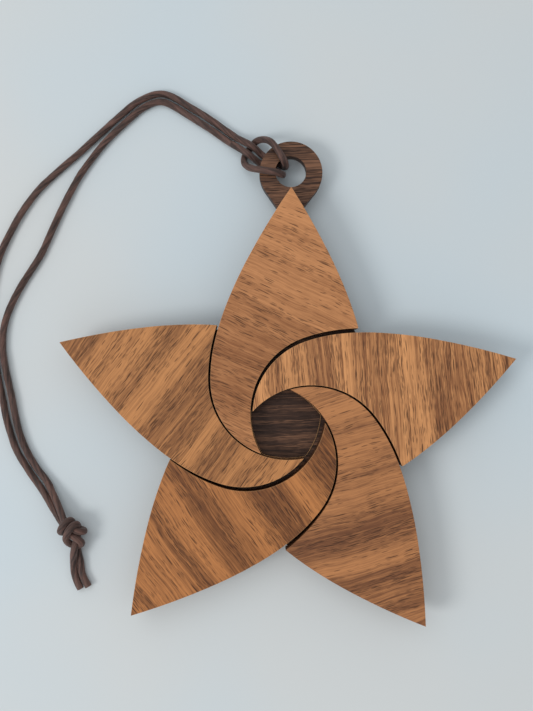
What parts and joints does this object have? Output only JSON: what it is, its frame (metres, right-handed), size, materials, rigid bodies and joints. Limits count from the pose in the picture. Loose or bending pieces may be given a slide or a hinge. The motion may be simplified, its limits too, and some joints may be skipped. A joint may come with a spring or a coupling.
{
  "type": "hanging star puzzle",
  "caption": "Flat wooden star puzzle: hooked blades slide outwards together on a dark back plate with a hanging ring and cord.",
  "frame": {"origin": "centre of the star on its back face", "axes": "+Z out of the front face, +Y towards the top tip and the hanging ring"},
  "size_m": [0.1299, 0.129, 0.0093],
  "materials": {
    "walnut": "oiled open-pored walnut with dark pore streaks",
    "dark_walnut": "dark oiled walnut, horizontal grain",
    "hidden_wood": "plain sanded hardwood",
    "peg_wood": "pale dowel, end grain",
    "waxed_cord": "dark brown waxed cotton cord"
  },
  "bodies": {
    "back_plate": {"back_cover": "walnut", "back_plate": "dark_walnut", "cord_hitch": "waxed_cord", "cord_strand_a": "waxed_cord", "cord_strand_b": "waxed_cord", "cord_knot": "waxed_cord", "cord_tail_a": "waxed_cord", "cord_tail_b": "waxed_cord"},
    "blade_top": {"blade_top": "walnut", "key_top": "hidden_wood", "peg_top_inner": "peg_wood", "peg_top_outer": "peg_wood"},
    "blade_right": {"blade_right": "walnut", "key_right": "hidden_wood", "peg_right_inner": "peg_wood", "peg_right_outer": "peg_wood"},
    "blade_lower_right": {"blade_lower_right": "walnut", "key_lower_right": "hidden_wood", "peg_lower_right_inner": "peg_wood", "peg_lower_right_outer": "peg_wood"},
    "blade_lower_left": {"blade_lower_left": "walnut", "key_lower_left": "hidden_wood", "peg_lower_left_inner": "peg_wood", "peg_lower_left_outer": "peg_wood"},
    "blade_left": {"blade_left": "walnut", "key_left": "hidden_wood", "peg_left_inner": "peg_wood", "peg_left_outer": "peg_wood"}
  },
  "joints": [
    {"name": "top_slide", "type": "slide", "parent": "back_plate", "child": "blade_top", "axis": [0, 1, 0], "range_m": [0, 0.006]},
    {"name": "right_slide", "type": "slide", "parent": "back_plate", "child": "blade_right", "axis": [0.9511, 0.309, 0], "range_m": [0, 0.006]},
    {"name": "lower_right_slide", "type": "slide", "parent": "back_plate", "child": "blade_lower_right", "axis": [0.5878, -0.809, 0], "range_m": [0, 0.006]},
    {"name": "lower_left_slide", "type": "slide", "parent": "back_plate", "child": "blade_lower_left", "axis": [-0.5878, -0.809, 0], "range_m": [0, 0.006]},
    {"name": "left_slide", "type": "slide", "parent": "back_plate", "child": "blade_left", "axis": [-0.9511, 0.309, 0], "range_m": [0, 0.006]}
  ],
  "couplings": [
    {"joint": "right_slide", "follows": "top_slide", "ratio": 1},
    {"joint": "lower_right_slide", "follows": "top_slide", "ratio": 1},
    {"joint": "lower_left_slide", "follows": "top_slide", "ratio": 1},
    {"joint": "left_slide", "follows": "top_slide", "ratio": 1}
  ]
}
